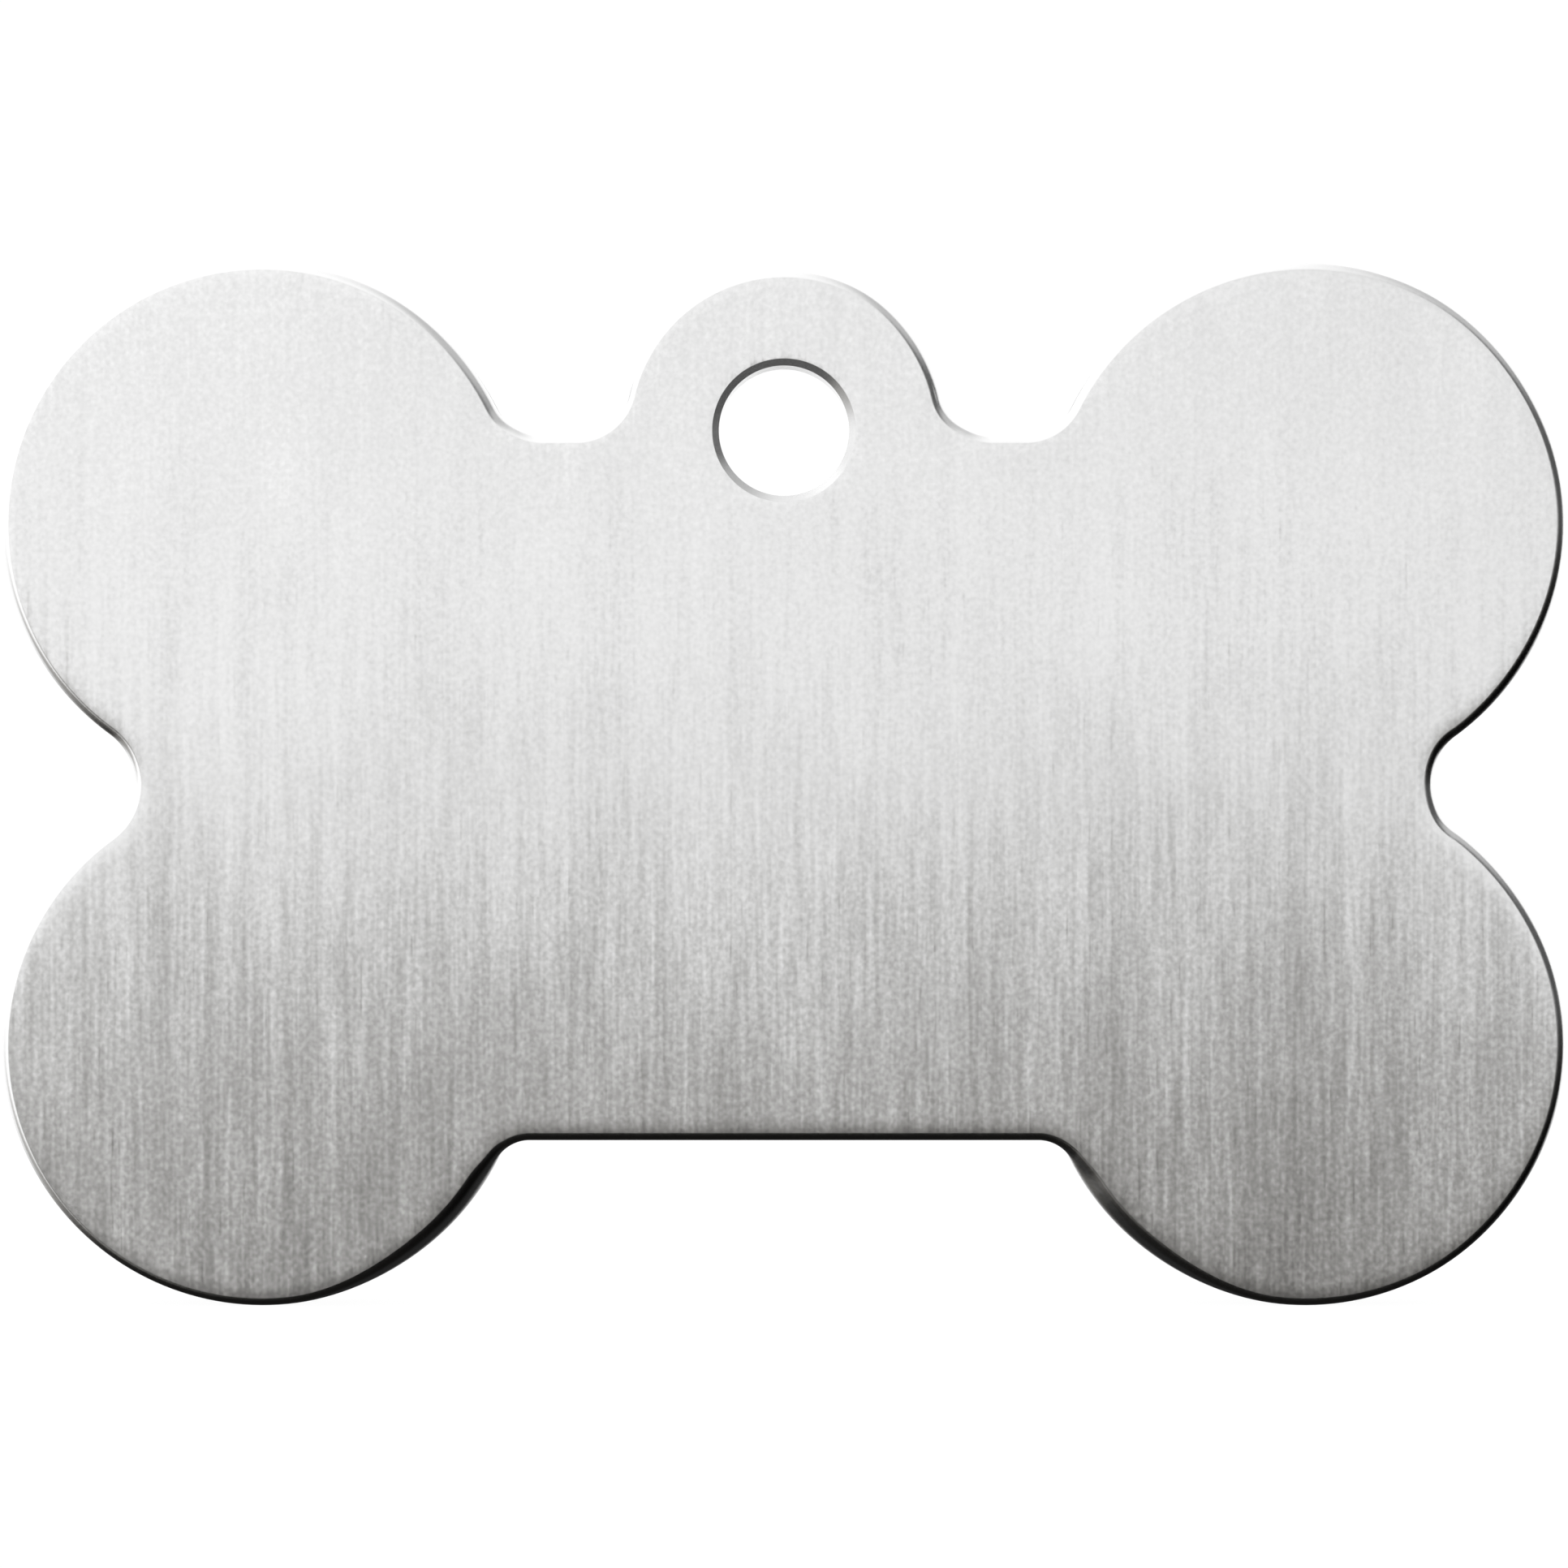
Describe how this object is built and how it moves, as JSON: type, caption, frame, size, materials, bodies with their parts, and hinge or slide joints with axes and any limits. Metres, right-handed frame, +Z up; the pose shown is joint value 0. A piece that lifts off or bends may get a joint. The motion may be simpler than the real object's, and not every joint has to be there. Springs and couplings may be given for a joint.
{
  "type": "dog tag",
  "caption": "Flat bone-shaped pet tag blanked from brushed metal, with a pierced lug at the top that hangs on a ring and plain faces left bare for engraving.",
  "frame": {"origin": "on the axis of the ring hole, halfway through the plate", "axes": "+X along the bone, +Z up to the lug as the tag hangs, and the brushed front face looks along -Y"},
  "size_m": [0.0382, 0.0016, 0.0254],
  "materials": {
    "brushed_plate": "neutral silver-grey metal with fine vertical brushing on the face and a bright broken edge"
  },
  "bodies": {
    "root": {"tag_plate": "brushed_plate"}
  },
  "joints": []
}
